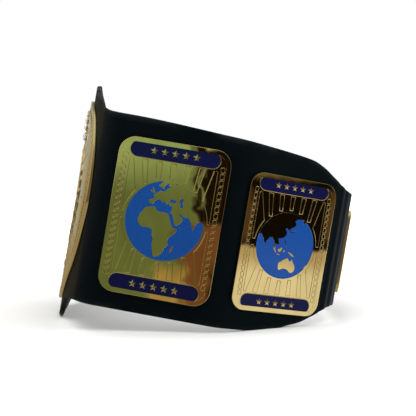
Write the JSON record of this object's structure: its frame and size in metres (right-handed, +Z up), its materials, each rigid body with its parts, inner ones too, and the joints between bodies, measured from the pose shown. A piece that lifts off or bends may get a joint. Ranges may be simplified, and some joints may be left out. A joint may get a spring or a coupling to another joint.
{
  "type": "championship title belt",
  "caption": "Broad black leather belt snapped to a loop, with a large gilt front plate and smaller gilt side plates that carry enamel globes and banners.",
  "frame": {"origin": "on the table under the middle of the belt's bounding box", "axes": "+Z up from the table; -Y towards the main plate at the front; +X towards the wearer's left"},
  "size_m": [0.298, 0.2976, 0.2325],
  "materials": {
    "leather": "smooth black, slightly glossy, worn grey at the tips",
    "gold": "polished gilt",
    "sea_enamel": "glossy blue enamel",
    "navy_enamel": "glossy navy enamel",
    "crystal": "cut and polished",
    "steel": "polished"
  },
  "bodies": {
    "root": {"leather_strap": "leather", "main_plate": "gold", "main_globe_enamel": "sea_enamel", "main_upper_banner_enamel": "navy_enamel", "main_lower_banner_enamel": "navy_enamel", "crest_crystal_1": "crystal", "crest_crystal_2": "crystal", "crest_crystal_3": "crystal", "crest_crystal_4": "crystal", "crest_crystal_5": "crystal", "crest_crystal_6": "crystal", "crest_crystal_7": "crystal", "crest_crystal_8": "crystal", "crest_crystal_9": "crystal", "left_front_plate": "gold", "left_front_globe_enamel": "sea_enamel", "left_front_upper_banner_enamel": "navy_enamel", "left_front_lower_banner_enamel": "navy_enamel", "left_rear_plate": "gold", "left_rear_globe_enamel": "sea_enamel", "left_rear_upper_banner_enamel": "navy_enamel", "left_rear_lower_banner_enamel": "navy_enamel", "right_front_plate": "gold", "right_front_globe_enamel": "sea_enamel", "right_front_upper_banner_enamel": "navy_enamel", "right_front_lower_banner_enamel": "navy_enamel", "right_rear_plate": "gold", "right_rear_globe_enamel": "sea_enamel", "right_rear_upper_banner_enamel": "navy_enamel", "right_rear_lower_banner_enamel": "navy_enamel", "left_tail_plate": "gold", "left_tail_enamel": "sea_enamel", "right_tail_plate": "gold", "right_tail_enamel": "sea_enamel", "snap_1": "steel", "snap_2": "steel", "snap_3": "steel", "snap_4": "steel", "snap_5": "steel", "snap_6": "steel"}
  },
  "joints": []
}
